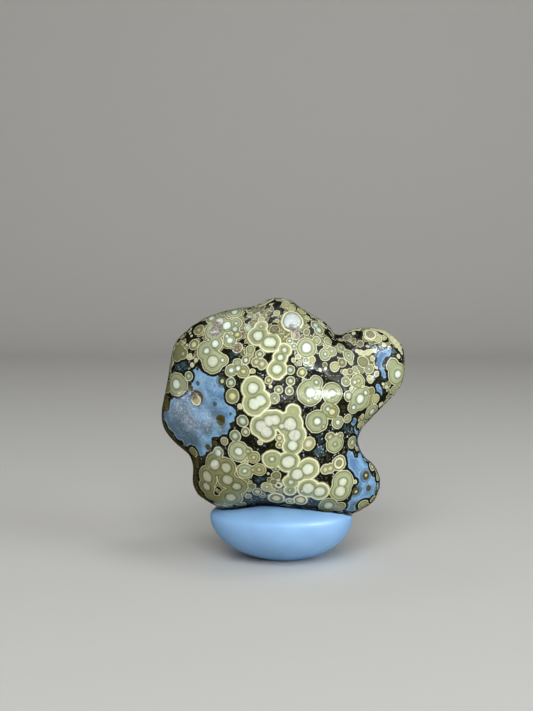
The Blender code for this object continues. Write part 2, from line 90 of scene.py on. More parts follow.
# Eyes on the front by kind: across, up, outer radius and, where it has one, core radius, in millimetres on
# the plane through the stone's middle that faces the camera. Each kind runs roughly from the upper left to
# the lower right. A core radius below 0 also leaves out the small pale spot in the middle.
Eye = namedtuple("Eye", "across up radius core", defaults=(0.0,))
FRONT_EYES = {
    "PITTED": [(-8.45, 9.3, 1.38, 0.52), (-7.88, 10.4, 1.05, 0.5)],
    # The cores of the upper-left cluster are painted whiter, partly as a highlight.
    "WHITE": [
        (-6.97, 9.9, 1.05, 0.48), (-8.84, 10.82, 0.8, 0.32), (-6.93, 8.6, 0.5, 0.17),
        (-6.58, 8.1, 0.88, 0.33), (-8.38, 7.68, 1, 0.4), (-9.45, 6.8, 1.32, 0.32),
        (-7.46, 5.65, 0.76, 0.18), (-6, 11.62, 1.05, 0.34), (-5.82, 10.2, 0.8, 0.15),
        (-13.12, 2.7, 1.46, 0.52), (-12.55, 2.65, 1.05), (-6.4, 4.4, 0.78, 0.26), (-5.54, 4.66, 0.62, 0.22),
        (-4.62, 5.65, 0.56, 0.22), (0.78, 8.07, 0.42, 0.14), (2.83, 7.2, 1.26, 0.52),
        (5.1, 6.4, 0.78, 0.12), (7.06, 7.22, 0.64, 0.13), (7.98, 6.23, 0.84, 0.13),
        (8.75, 2.97, 0.68, 0.16), (14, 3.98, 1.4, 0.42), (4.05, 2.98, 0.88, 0.16), (9.36, 0.94, 1.48, 0.5),
        (8.59, -0.09, 0.84, 0.21), (10.05, 1.71, 0.82, 0.23), (5.45, -0.25, 0.96, 0.21),
        (6.64, -1.93, 0.82, 0.24), (4.14, -1.81, 1.46, 0.38), (10.8, -0.66, 1.05, 0.34),
        (-0.15, -2.42, 0.32, 0.27), (-5.5, -5.49, 1.36, 0.42), (-4.68, -7.9, 1.05, 0.21),
    ],
    "PLAIN": [
        (-8.69, 5.54, 1.52, 0.63), (-4.09, 6.96, 0.58), (-4.16, 6.34, 0.46), (-2.9, 6.38, 0.58, 0.2),
        (-4.62, -3.07, 0.57, 0.2), (-0.6, 2.05, 0.54, 0.15), (-1.14, 1.02, 0.7, 0.14),
        (0.89, 3.12, 0.6, 0.22), (0.74, 1.94, 0.56, 0.16), (4.07, 8.1, 0.56), (5.45, 7.99, 0.6),
        (5.6, 9.65, 0.4), (6, 9.1, 0.4), (1.96, 5.27, 0.34, 0.1), (5.9, 6.75, 0.66, 0.12),
        (10.46, 4.6, 0.64, 0.12), (8.75, 4.55, 0.46), (7.67, 3.09, 0.6, 0.1), (13.4, 5, 0.95),
        (13.5, 2.05, 0.55), (3.26, 1.71, 1.62, 0.52), (2.53, 3.15, 0.32), (5.99, 1.63, 1.36, 0.36),
        (7.98, 1.29, 0.66, 0.32), (7.87, -1.47, 0.56), (9.65, -1.2, 0.3), (-7.23, -4.26, 0.52),
        (5.72, -3.69, 0.62, 0.16), (6.95, -3.57, 0.5, 0.12), (6.33, -4.57, 1.18, 0.16),
        (8.44, -4.34, 0.8, 0.26), (7.29, -9.2, 1.44, 0.44), (6.98, -10.3, 1.38, 0.62),
        (2.27, -10.3, 0.36, 0.15), (10.85, -7.3, 0.5, 0.14), (11.55, -8.65, 0.4), (9.77, -11.93, 0.72),
    ],
    "YELLOW": [
        (-10.98, 7.57, 0.72, 0.3), (-5.66, 8.8, 0.62, 0.22), (-6.24, 1.25, 0.92, 0.4),
        (-4.89, 4.28, 0.86, 0.23), (-1.83, 3.2, 0.5, 0.16), (2.27, 4.16, 0.64, 0.3),
        (9.2, 3.15, 0.96, 0.16), (12.31, 8.45, 0.34, 0.12), (5.95, -0.6, 0.98, 0.36),
        (4.9, -2.46, 0.45, 0.12), (-0.5, -3.86, 0.5, 0.24), (-0.48, -4.68, 0.48, 0.16),
        (-4.33, -5.46, 0.55, 0.12), (-3.61, -6.2, 0.84, 0.17), (-3.7, -7.78, 0.6, 0.13),
        (-2.94, -7.73, 0.87, 0.17),
    ],
    "BROWNISH": [
        (-10.37, 9.4, 0.75, 0.22), (-12.48, 8.83, 0.56), (-13.95, 3.95, 0.5), (-14.2, 2.4, 0.8),
        (-11, -5.6, 0.62), (-1.1, 9.35, 0.72), (2.85, 9.15, 0.45), (3.3, 5.2, 0.3),
        (7.21, 5.42, 0.62, 0.16), (8.2, 4.3, 0.46, 0.1), (9.4, 7.7, 0.45), (-4.05, -9.24, 0.26),
        (-4.24, -10.96, 0.42),
    ],
    "BLUISH": [
        (-5.97, 9.48, 0.6, 0.26), (-4.39, 9.64, 0.45, 0.27), (-11.83, 7.5, 0.2), (-11.3, 8.64, 0.16),
        (-11.63, 3.7, 0.6, 0.2), (-6.43, 2.93, 0.62, 0.24), (-5.66, 5.35, 0.56), (-5, -1.78, 0.74, 0.32),
        (0.81, 4.5, 0.6, 0.2), (1.31, 7.41, 0.42, 0.15), (3.95, 9.98, 0.66, 0.24), (4.37, 9.38, 0.7, 0.3),
        (2.8, 5.65, 0.4, 0.13), (-5.9, -3.63, 0.74, 0.29), (-7.96, -5.7, 0.78, 0.32),
    ],
    "RUSTY": [(-5.63, 7.2, 0.66, 0.5), (-10.6, 1.12, 0.9, -0.5), (-10.7, 0.8, 0.82, 0.46)],
    # The olive eyes at the lower left are darker as painted shade.
    "OLIVE": [
        (-12.33, 6.44, 0.7, 0.18), (-13, 6.6, 1.15), (-12.67, 7.8, 0.42), (9.71, 5.49, 0.72),
        (10.75, 1.9, 0.55), (7.75, 8.5, 0.55), (-8.38, -7.1, 1.5, 0.6), (-7, -7.48, 1.3, 0.58),
        (-9.3, -8.6, 1.4, 0.63), (-9.38, -9.8, 1.15, 0.48), (-6.85, -8.97, 1.34, 0.63),
        (-5.68, -9.77, 1.4, 0.47), (-6.4, -11.1, 1.48, 0.6), (-7.9, -11.45, 0.85), (-8.9, -10.9, 0.75),
        (-5.1, -12, 0.65), (-3.17, -10.42, 0.62, 0.3), (-0.95, -7.6, 0.45, 0.15), (-0.87, -8.43, 0.6),
        (-1.14, -9.2, 0.48), (5.49, -12.07, 1.22, 0.5), (6.9, -12.2, 0.75), (10.95, -11.25, 0.46),
    ],
    "CREAM": [
        (-11.52, 6.07, 0.46), (-10.72, 5.7, 0.27), (-11.18, 5.08, 0.29), (-11.37, 9.56, 0.17),
        (-11.45, 9, 0.17), (-5.3, 0, 0.32), (-1.62, 2.42, 0.24), (4.54, 4.47, 0.22), (5.17, 4.69, 0.16),
        (9.66, 2.55, 0.34), (8.3, 2.2, 0.26), (8.6, 9, 0.24), (9.2, 9.45, 0.26), (12.28, 7.53, 0.28),
        (11.05, 9.6, 0.4), (11.5, 9.52, 0.38), (11.95, 9.38, 0.42), (12.4, 9.15, 0.42), (12.85, 8.85, 0.44),
        (13.25, 8.48, 0.48), (13.65, 8.05, 0.5), (14, 7.58, 0.46), (14.3, 7.1, 0.36), (14.52, 6.65, 0.28),
        (9.02, 6.82, 0.26), (9.42, 6.66, 0.34), (9.88, 6.52, 0.32), (10.36, 6.62, 0.42), (10.8, 6.84, 0.28),
        (11.15, 6.78, 0.24), (14.1, 6.15, 0.3), (12.2, 2.75, 0.18), (11.95, 0.25, 0.4),
        (-2.82, -4.42, 0.34), (-5.12, -6.79, 0.16), (-5.63, -7.52, 0.13), (-1.8, -8.2, 0.19),
        (-0.52, -8.98, 0.17), (6.45, -3.34, 0.15), (7.83, -3.65, 0.13),
    ],
    "BROWN": [
        (-14.5, 0.7, 0.75), (-14.5, -0.1, 0.62), (-15, -1.3, 0.5), (-14.85, -2, 0.5), (-14.5, -2.7, 0.5),
        (-14.05, -3.35, 0.5), (-13.5, -4, 0.5), (-12.9, -4.6, 0.5), (-12.25, -5.1, 0.5), (-11.6, -5.6, 0.5),
        (-7.7, -1.66, 0.68, 0.24), (-11.38, 2.23, 0.36), (-8.4, -4.5, 0.38), (-9.2, -5, 0.4),
        # The next six, along the lower-left edge, are painted shade.
        (-10.8, -6.7, 0.7), (-10.95, -7.7, 0.85), (-10.95, -8.8, 0.85), (-10.8, -9.9, 0.85),
        (-10.2, -10.8, 0.8), (-9.2, -11.6, 0.7), (10.4, -9.93, 0.38), (11.35, -10.35, 0.32),
    ],
    "FAINT": [(-8.42, 0.33, 0.3), (-10.49, 2.8, 0.3), (-6.47, -0.93, 0.22), (2.92, 4.66, 0.24)],
    "DARK": [(-7.5, 3.1, 0.52, 0.21), (10.1, -8.36, 0.56, 0.16), (8.86, -10.35, 0.5, 0.16)],
    "CREAMY": [
        (-3.36, 5.46, 0.6, 0.2), (-2.63, 5.19, 0.68, 0.22), (-3.75, 4.35, 0.34), (-2.71, 10.65, 0.45),
        (0.28, 12.5, 0.55), (0.95, 12.15, 0.6), (2.25, 11.75, 0.6), (-0.85, 11.45, 0.42),
        (-0.75, 10.55, 0.3), (2.95, 10.9, 0.35), (1.27, 5.69, 0.3), (1.8, 6.05, 0.36), (3.5, 5.7, 0.45),
        (8.25, 5.46, 0.4), (6.28, 4.88, 0.66), (7.6, 4.2, 0.38), (9.1, 4.25, 0.34), (10.6, 3.35, 0.5),
        (11.4, 4, 0.34), (11.6, 8.3, 0.5), (10.9, 5.9, 0.3), (12.6, 2.4, 0.22), (11.3, 0.9, 0.62),
        (9.4, -2.2, 0.5), (3.07, -4.53, 0.94, 0.45), (-4.58, -6.79, 0.3), (-2.02, -9.81, 0.72, 0.17),
        (-1.4, -10.2, 0.45), (5.15, -7.65, 0.66, 0.22), (5.75, -7.52, 0.64, 0.2), (8.75, -9.16, 0.28),
    ],
    "BOLD": [
        (-2.75, 9.79, 0.95, 0.13), (-3.13, 8.68, 1.4, 0.57), (-1.8, 7.89, 1.32, 0.56),
        (-1.5, 7.89, 1.32, 0.56), (0.13, 6.92, 0.98, 0.24), (-0.37, 6, 1.04, 0.34),
        (-0.79, 4.54, 1.34, 0.54), (-3.74, 2.24, 1.56, 0.6), (-3.55, 0.33, 1.6, 0.65),
        (-2.82, 0.71, 1.42, 0.62), (1.16, -4.76, 1.38, 0.57), (1.2, -0.66, 1.08), (0.62, -6.75, 1.5, 0.76),
        (-1.33, -6.44, 1.32, 0.24), (3.03, -7.63, 1.53, 0.66), (1.73, -8.28, 1.24, 0.64),
        (0.93, -9.2, 1.12, 0.28), (0.8, -10.23, 0.9, 0.14), (3.03, -10, 1.46, 0.69),
        (4.45, -10.38, 1.34, 0.62),
    ],
    "KNOB": [(1.1, 10.5, 1.48, 1.05)],
    "PINK": [(1.5, 8.72, 0.6)],
    "RINGED": [(10.65, 8.88, 0.92, 0.52), (6.8, -6.87, 0.98, 0.44)],
    "SPOTTED": [
        (-2.71, -2.42, 1.48, 0.66), (-2.1, -3.11, 1.36, 0.66), (-1.71, -1.75, 1.44, 0.6),
        (-1.02, -1.66, 1.38, 0.57), (0.81, -2.16, 1.72, 0.71), (1.39, -3.53, 1.54, 0.68),
    ],
    "HOLLOW": [(-0.57, -9.62, 0.48, 0.2)],
    "WARM": [(-0.87, -11.19, 1.12, 0.5), (2.11, -11.4, 0.98, 0.5), (0.81, -11.53, 0.68, 0.25)],
}

# Areas between the eyes on the front: across, up and radius, placed in the same way as the eyes. Blue,
# grey, teal and brown are stones of other colours, but on the lower left of the left blue patch the grey is
# a painted reflection, and along the lower-left edge the brown is painted shade. In the crust small buds
# run together, and in the gaps these buds are small and leave black between them. Pits are small hollows in
# the skin. The blue stone is milky in the haze and dark in the deep areas; in the middle of the left blue
# patch the haze is a painted sheen with painted glints. The polish is worn where it is matt and finely
# scratched where it is etched. The face stands out a little at the swell.
FRONT_AREAS = {
    "blue": [
        (-10.7, 4.2, 0.6), (-10.4, 3.2, 1.1), (-9, 2.4, 1.7), (-8.4, 1, 1.7), (-10.5, 0, 2.6),
        (-12.6, -0.6, 1.8), (-13.6, -1.6, 1.1), (-12.6, -2.6, 1.5), (-11, -2.8, 2.1), (-8.6, -1.8, 2),
        (-6.7, -1, 1), (-7.3, -2.6, 0.9), (-10, -4.2, 1.4), (-11.6, -4, 1.1), (-14.3, -1.2, 0.7),
        (-13.7, -2.3, 0.7), (-12.7, -3.5, 0.7), (-11.8, -4.4, 0.6), (-10.1, -5.5, 0.6), (8.6, -1.8, 0.45),
        (8.95, -2.6, 0.4), (9, -3.3, 0.5), (9.1, -4, 0.5), (9.6, -4.2, 0.9), (9.6, -5.2, 1.1),
        (10.4, -6, 0.9), (8.2, -5.9, 0.6), (9.7, -6.1, 1), (8.7, -7.1, 0.9), (9.5, -7.6, 1.2),
        (11.4, -9.6, 0.9), (9.9, -9, 1.3), (10.6, -9.9, 1.4), (9.4, -10.9, 1.1), (8.6, -12.1, 1),
        (12.7, 6.65, 0.5), (12.1, 6.3, 0.5), (11.6, 5.7, 0.55), (11.5, 5.1, 0.55), (11.9, 4.4, 0.5),
        (12.4, 3.8, 0.35), (11.6, 2.5, 0.35), (11.7, 1.8, 0.5),
    ],
    # Grey stone; on the lower left of the left blue patch this grey is a painted reflection.
    "grey": [
        (-12.6, -0.6, 1.5), (-14.2, -1.2, 1), (-13.8, -2.6, 1), (-12.6, -3.9, 1.1), (-11, -5, 0.9),
        (-11.6, -2, 1.5), (-9.4, -2.6, 1.1), (-12.8, -2.4, 1.6), (-11.4, -4, 1.3), (-8.6, -0.6, 0.6),
        (-7.4, -2.6, 0.6), (8.6, -1.8, 0.7), (8.7, -12.3, 0.9),
    ],
    "teal": [
        (-12.4, 4.8, 1.1), (-6.1, 6.05, 0.7), (-4.9, 6.65, 0.4), (-7.9, 3.6, 0.7), (-2.7, -8.9, 0.8),
        (4.4, -4, 0.6), (4.6, -5.4, 1), (13.6, 6.6, 0.6), (14.3, 6.2, 0.5), (10.5, 7.4, 0.4),
        (11.3, 7.15, 0.3), (12.2, 3.1, 0.6), (7.7, -2.6, 0.8), (7.6, -3.7, 0.5),
    ],
    # Brown stone; along the lower-left edge the brown is painted shade.
    "brown": [
        (6, 3.9, 1.4), (4.9, 4.7, 0.9), (7.3, -0.4, 0.6), (-10.1, -6.5, 1.1), (-10.6, -8, 1.2),
        (-10.4, -9.6, 1.3), (-11.6, -6.3, 0.7), (-15.1, -1.2, 0.8), (-14.8, -2.2, 0.8), (-14.3, -3.1, 0.8),
        (-13.7, -3.9, 0.8), (-13, -4.7, 0.8), (-12.2, -5.5, 0.8), (-9.4, -11.4, 1), (-9.4, -5.4, 0.9),
    ],
    "crust": [
        (-8.7, 8.4, 2.3), (-7.6, 10.6, 1.8), (-6.6, 7.6, 1.1), (-5.2, 8.9, 1.7), (-4.6, 11.2, 1.3),
        (-3.4, 11.6, 1.5), (-2, 12.1, 0.9), (-1.9, 11.2, 0.9), (-2.5, 9.6, 1.9), (-3.6, 6.9, 1.6),
        (-0.8, 8.6, 1.6), (0.6, 12.4, 1.1), (1.3, 10.4, 2.1), (1, 8.2, 1.5), (2.9, 10.2, 1.5),
        (4.3, 9.9, 1.3), (2, 11.7, 1), (3.4, 8.6, 1.6), (2.7, 6.9, 1.6), (4.8, 8.6, 1.3), (5.2, 6.8, 1.6),
        (7, 6.9, 1.2), (8.1, 5.9, 1.1), (9.9, 5.2, 1.4), (8.4, 4.2, 1), (8.5, 3.1, 1), (1.6, 5.6, 0.9),
        (3.1, 5.4, 0.8), (-9.6, 6, 1.5), (-12.6, 6.9, 1.1), (-12.3, 8.6, 0.5), (10.6, 8.6, 1.5),
        (13.2, 8.4, 1.2), (7.9, 8.4, 1), (11.9, 8.4, 0.9), (10.6, 0.9, 1.2), (9.7, -1.5, 0.7),
        (13.1, 2.3, 0.9), (-8, -8.2, 2), (-6.4, -10.4, 1.9), (-5, -8.2, 1.3), (-4, -9.9, 0.8),
        (-2.4, -10.3, 1), (-1, -9, 0.9), (-0.6, -10.3, 0.8), (-0.5, -4.3, 0.5),
    ],
    "pits": [
        (-8.3, 9.8, 0.75), (-8.5, 8.9, 0.45), (-7.7, 9.2, 0.3), (-8.3, 7.35, 0.22), (-5, 8.95, 0.25),
        (-5.8, 7.35, 0.6), (-5.5, 6.65, 0.4), (-3.4, 11.9, 0.5), (-1, 9.3, 0.4), (1.5, 9.5, 0.45),
        (1.7, 8.9, 0.5), (0.9, 9.65, 0.5), (1.9, 9.65, 0.32), (-1.1, 7, 0.2), (-11, 1.2, 0.4),
        (7.8, 8.5, 0.5), (9.2, 7.7, 0.4),
    ],
    "gaps": [
        (-0.75, 13.2, 0.3), (-0.7, 12.6, 0.36), (-0.95, 12.1, 0.32), (-0.45, 11.9, 0.32),
        (0.05, 11.8, 0.28), (-0.5, 11.6, 0.33), (-1.4, 11.3, 0.29), (-1.33, 11, 0.33), (-1.56, 10.6, 0.47),
        (-1.18, 10.4, 0.44), (-0.72, 10.7, 0.31), (-4.6, 11, 0.26), (-4.1, 10.9, 0.25),
        (-3.55, 10.87, 0.25), (-4.2, 10.6, 0.25), (-4.5, 10.45, 0.26), (3.8, 10.67, 0.26),
        (3.2, 10.25, 0.29), (3.4, 9.4, 0.29), (3.5, 9.17, 0.3), (3.15, 8.5, 0.29), (4.5, 7.2, 0.41),
        (-4.66, 7.42, 0.3), (-3.17, 7.1, 0.3), (-2.06, 5.85, 0.3), (1.4, 6.1, 0.33), (1.66, 5.65, 0.38),
        (1.2, 5.2, 0.33), (-5.16, 8, 0.26), (5.15, 9.7, 0.33), (5.3, 9.2, 0.45), (5.5, 8.9, 0.5),
        (5.95, 8.5, 0.33), (6.1, 7.75, 0.28), (6.45, 6.4, 0.29), (6.9, 6.3, 0.33), (7.3, 6, 0.29),
        (7.7, 5.6, 0.29), (8, 5.1, 0.33), (8.1, 4.8, 0.29), (4.7, 5.8, 0.29), (5.3, 5.6, 0.26),
        (6, 5.45, 0.25), (8.9, 5.5, 0.45), (6.9, 8.4, 0.45), (7.2, 7.9, 0.33), (7.6, 7.5, 0.38),
        (8.1, 7.2, 0.44), (8.5, 6.8, 0.44), (8.2, 9.1, 0.45), (8.6, 8.8, 0.5), (9.2, 8.9, 0.5),
        (9.3, 8.4, 0.45), (9.4, 9.6, 0.45), (12.61, 8.14, 0.43), (10.2, 7.8, 0.29), (10.6, 7.6, 0.29),
        (11, 7.45, 0.29), (11.4, 7.3, 0.29), (11.9, 7.3, 0.29), (12.5, 7.3, 0.29), (13.2, 7.3, 0.29),
        (10.75, 2.75, 0.38), (10.9, 2.4, 0.29), (11.1, 2, 0.29), (-10.15, 8.35, 0.41), (-7.2, 6.72, 0.35),
        (-7.8, -10.1, 0.45),
    ],
    # Milky blue; in the middle of the left blue patch the haze is a painted sheen with painted glints.
    "haze_and_sheen": [
        (-8.4, 2.7, 0.7), (-9.9, 3.3, 0.5), (-10.7, 2.2, 0.3), (-9.5, 1.5, 0.3), (-10.4, -1.2, 0.6),
        (-9.6, -1.2, 0.8), (-9.7, -4, 0.4), (-13.2, 0.2, 0.2), (8.4, -5.7, 0.3), (12.7, 6.65, 0.1),
    ],
    "deep": [(12.2, 6, 0.8), (11.6, 5.2, 0.9), (11.8, 4.4, 0.8), (11.7, 2, 0.8), (8.6, -1.8, 0.5)],
    "matt": [
        (3, 7.2, 1.6), (4.6, 6.4, 1.6), (6.2, 5.9, 1.4), (7.6, 5.2, 1.2), (7.4, 3.8, 1), (8.6, 2.8, 1.2),
        (9.8, 4.6, 1.3), (10.2, 6.4, 0.9), (3.4, 8.8, 1.2), (6.4, 4.4, 1), (9.4, 6.2, 1), (12.2, 6, 0.8),
        (11.4, 5.2, 0.7),
    ],
    "swell": [(3.4, 0.3, 0.9), (4.6, 0.3, 0.9), (5.8, 0.3, 0.9)],
    "etched": [
        (-0.6, 0.9, 0.7), (2.9, 0.9, 0.6), (4.2, 1.2, 0.9), (5.6, 1.2, 0.9), (4.4, 0.2, 0.4),
        (6.9, 1.3, 0.6), (4.2, 5.6, 0.8), (5.6, 5.2, 0.8), (7, 4.6, 0.8), (-10.4, -1.3, 0.5),
        (-11.5, -3.2, 0.4),
    ],
}

# Areas that the camera doesn't see: the direction from the stone's middle in degrees, with turn 0 at the
# camera's side and 90 at the right, and the radius in millimetres
FAR_AREAS = {
    "blue": [
        (118, -4, 3), (132, -22, 2.6), (206, 18, 3.2), (216, 2, 2.6), (-100, -12, 2.8), (-112, 4, 1.9),
        (170, -38, 2.8), (100, -62, 2.6), (150, 46, 1.6),
    ],
    "grey": [(100, -62, 3), (216, -2, 1.8), (-104, -18, 2.2)],
    "teal": [(180, 10, 1.4), (-128, 22, 1.5), (160, -8, 1.6), (0, -84, 2.6)],
    "brown": [(10, -64, 2.6), (-34, -60, 2.6), (240, -26, 2), (144, 20, 1.6), (-76, -34, 1.6)],
    "crust": [
        (180, 66, 3.6), (150, 72, 3), (-140, 56, 3.4), (-120, 38, 2.8), (186, 36, 2.6), (130, 44, 2.6),
        (104, 30, 2.6), (158, 22, 1.8), (190, -14, 2.4), (232, -14, 2.2), (-92, 24, 2.2),
    ],
    "pits": [(176, 54, 0.9), (-134, 46, 0.8), (190, -12, 0.7)],
}


def srgb(*colour):
    """Linear red, green, blue and alpha of an sRGB colour in 0 to 255."""
    def linear(value):
        value = value / 255.0
        return value / 12.92 if value <= 0.04045 else ((value + 0.055) / 1.055) ** 2.4

    return tuple(linear(value) for value in colour) + (1.0,)


def outward(turn, rise):
    """The unit direction away from the stone for a turn and a rise in degrees."""
    turn, rise = math.radians(turn), math.radians(rise)
    level = math.cos(rise)
    return Vector((math.sin(turn) * level, -math.cos(turn) * level, math.sin(rise)))


def add_object(name, data):
    """A new object in the scene."""
    thing = bpy.data.objects.new(name, data)
    bpy.context.scene.collection.objects.link(thing)
    return thing


# Mesh

def read_mesh(node):
    """Corner points in metres and triangles of a CAD node."""
    mesh = node.data
    points = np.empty(len(mesh.vertices) * 3, np.float32)
    mesh.vertices.foreach_get("co", points)
    mesh.calc_loop_triangles()
    triangles = np.empty(len(mesh.loop_triangles) * 3, np.int32)
    mesh.loop_triangles.foreach_get("vertices", triangles)
    return weld(points.reshape(-1, 3).astype(float), triangles.reshape(-1, 3))


def weld(points, triangles):
    """Joins the copies of a point that the frame's file keeps for sharp shading."""
    keys = np.round(points / (0.001 * MM)).astype(np.int64)
    kept, where = np.unique(keys, axis=0, return_inverse=True)
    first = np.zeros(len(kept), int)
    first[where.ravel()[::-1]] = np.arange(len(points))[::-1]
    return points[first], where.ravel()[triangles]


def subdivide(points, triangles):
    """One round of Loop subdivision of a closed triangle mesh."""
    count = len(points)
    sides = np.concatenate([triangles[:, [0, 1]], triangles[:, [1, 2]], triangles[:, [2, 0]]])
    opposite = np.concatenate([triangles[:, 2], triangles[:, 0], triangles[:, 1]])
    edges, edge_of = np.unique(np.sort(sides, axis=1), axis=0, return_inverse=True)
    edge_of = edge_of.ravel()
    across = np.zeros((len(edges), 3))
    np.add.at(across, edge_of, points[opposite])
    middles = 0.375 * (points[edges[:, 0]] + points[edges[:, 1]]) + 0.125 * across

    valence = np.bincount(edges.ravel(), minlength=count)
    around = np.zeros((count, 3))
    np.add.at(around, edges[:, 0], points[edges[:, 1]])
    np.add.at(around, edges[:, 1], points[edges[:, 0]])
    pull = (0.625 - (0.375 + 0.25 * np.cos(2 * np.pi / valence)) ** 2) / valence
    moved = (1 - valence * pull)[:, None] * points + pull[:, None] * around

    ab, bc, ca = edge_of.reshape(3, -1) + count
    a, b, c = triangles.T
    corners = [(a, ab, ca), (b, bc, ab), (c, ca, bc), (ab, bc, ca)]
    finer = np.concatenate([np.stack(corner, axis=1) for corner in corners])
    return np.concatenate([moved, middles]), finer


def fine_mesh(name, rounds):
    """Points and triangles of a CAD node after Loop subdivision, and the two corners of its box.

    The subdivision starts from points moved out by what its smoothing takes away.
    """
    points, triangles = read_mesh(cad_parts[name])
    corners = points.min(axis=0), points.max(axis=0)
    smooth, _ = subdivide(points, triangles)
    points = points + (points - smooth[: len(points)])
    for _ in range(rounds):
        points, triangles = subdivide(points, triangles)
    return points, triangles, corners


def face_normals(points, triangles):
    """The faces' normals, as long as twice the faces' areas."""
    a, b, c = (points[triangles[:, i]] for i in range(3))
    return np.cross(b - a, c - a)


def corner_normals(points, triangles):
    """Unit normals at the points, averaged from the faces around them."""
    faces = face_normals(points, triangles)
    normals = np.zeros_like(points)
    for corner in range(3):
        np.add.at(normals, triangles[:, corner], faces)
    return normals / np.linalg.norm(normals, axis=1, keepdims=True)


def noise_field(points, size, seed):
    """Smooth noise between about -1 and 1 at points in metres, with lumps of that size in metres."""
    shift = Vector((seed * 17.3, seed * 5.1, seed * 11.7))
    return np.array([noise.noise(Vector(p) / size + shift) for p in points])


def smooth_step(values, start, end):
    """0 below start and 1 above end, with a smooth step between."""
    share = np.clip((values - start) / (end - start), 0.0, 1.0)
    return share * share * (3 - 2 * share)


def mesh_object(name, points, faces):
    """A smooth-shaded object made from points and faces."""
    mesh = bpy.data.meshes.new(name)
    mesh.from_pydata(points, [], faces)
    mesh.shade_smooth()
    mesh.update()
    return add_object(name, mesh)


# Camera

def make_camera():
    """The photograph's view: the stone stands low and a little right of the picture's middle."""
    lower = math.atan((PICTURE_HEIGHT / 2 - STONE_ROW) / FOCAL_PIXELS)
    aside = math.atan((STONE_COLUMN - PICTURE_WIDTH / 2) / FOCAL_PIXELS)
    data = bpy.data.cameras.new("camera")
    data.sensor_width = SENSOR
    data.lens = SENSOR * FOCAL_PIXELS / PICTURE_HEIGHT
    data.clip_start = 0.01
    data.clip_end = 5.0
    camera = add_object("camera", data)
    camera.location = CAMERA_PLACE
    camera.rotation_euler = (math.radians(90) - VIEW_DOWN - lower, 0.0, aside)
    bpy.context.scene.camera = camera


def cast(tree, across, up):
    """Where the camera sees the point across and up (mm) on the stone, and how much nearer it is."""
    rise = Vector((0.0, math.sin(VIEW_DOWN), math.cos(VIEW_DOWN)))
    target = STONE_MIDDLE + Vector((1, 0, 0)) * across * MM + rise * up * MM
    ray = (target - CAMERA_PLACE).normalized()
    hit, _, _, distance = tree.ray_cast(CAMERA_PLACE, ray)
    if hit is None:
        hit, _, _, _ = tree.find_nearest(target)
        distance = (hit - CAMERA_PLACE).length
    return hit, distance / (target - CAMERA_PLACE).length


# Where the eyes are

# Eyes and areas on the front reach deeper than wide, so that they look round near the outline too: this
# share of their depth (y) counts. An eye carries it as the fraction that is added to its kind.
DEPTH_SHARE = 0.5


def front_eyes(tree):
    """Centres (mm), radii, cores and kinds of the eyes that the camera sees."""
    rows = []
    for name, eyes in FRONT_EYES.items():
        kind = KIND_NAMES.index(name) + 1.0 - DEPTH_SHARE
        for eye in (Eye(*values) for values in eyes):
            hit, nearer = cast(tree, eye.across, eye.up)
            rows.append((*(hit / MM), eye.radius * nearer, eye.core * nearer, kind))
    return rows


def area_spheres(tree, name):
    """Centres, radii (mm) and depth shares of one sort of area, on the front and on the other sides."""
    spheres = []
    for across, up, radius in FRONT_AREAS[name]:
        hit, nearer = cast(tree, across, up)
        spheres.append((*(hit / MM), radius * nearer, DEPTH_SHARE))
    for turn, rise, radius in FAR_AREAS.get(name, ()):
        away = outward(turn, rise)
        hit, _, _, _ = tree.ray_cast(STONE_MIDDLE + away * VIEW_DISTANCE, -away)
        spheres.append((*(hit / MM), radius, 1.0))
    return np.array(spheres)


# Sizes of the eyes on the hidden sides: radius range (mm), how many tries, least spacing as a share of
# both radii, and the chance that the next eye of a chain follows. The shares are those of the kinds.
Scatter = namedtuple("Scatter", "smallest largest tries spacing chain")
SCATTER = (
    Scatter(1.20, 1.60, 260, 0.92, 0.62),
    Scatter(0.80, 1.20, 900, 0.86, 0.45),
    Scatter(0.45, 0.80, 2000, 0.88, 0.25),
    Scatter(0.25, 0.45, 2600, 0.98, 0.10),
    Scatter(0.12, 0.25, 1600, 1.10, 0.00),
)
CHAIN_STEP = 0.62
CHAIN_SPACING = 0.50
BIG_SHARES = {
    "PLAIN": 0.40, "WHITE": 0.12, "YELLOW": 0.05, "BLUISH": 0.03, "BOLD": 0.24, "SPOTTED": 0.12,
    "BROWNISH": 0.04,
}
SMALL_SHARES = {
    "PLAIN": 0.32, "WHITE": 0.16, "YELLOW": 0.12, "BLUISH": 0.10, "BOLD": 0.04, "CREAMY": 0.08,
    "CREAM": 0.08, "BROWNISH": 0.08, "DARK": 0.02,
}
JUST_UNDER_ONE = 0.999
BIG_EYE = 0.8
CORED_EYE = 0.35
LONE_IN_QUIET = 0.12
QUIET_MARGIN = 0.9
CHAIN_SMALLER = 0.75
CHAIN_LARGER = 1.05
CORE_SHARE = 0.24
CORE_VARIES = 0.24
BOLD_CORE_SHARE = 0.36
BOLD_CORE_VARIES = 0.12
SCATTER_SEED = 11
FRONT_FACING = 0.28
HIT_MARGIN = 0.5 * MM


def seen_from_camera(tree, point, normal):
    """True where the camera has a fair view of the stone."""
    towards = CAMERA_PLACE - point
    distance = towards.length
    towards = towards / distance
    if normal.dot(towards) < FRONT_FACING:
        return False
    hit, _, _, reached = tree.ray_cast(CAMERA_PLACE, -towards)
    return hit is not None and reached > distance - HIT_MARGIN


def pick_kind(size, chance):
    """The kind of an eye of that size, for a chance from 0 to 1."""
    shares = BIG_SHARES if size > BIG_EYE else SMALL_SHARES
    ends = np.cumsum(list(shares.values()))
    return list(shares)[int(np.searchsorted(ends, chance * JUST_UNDER_ONE))]


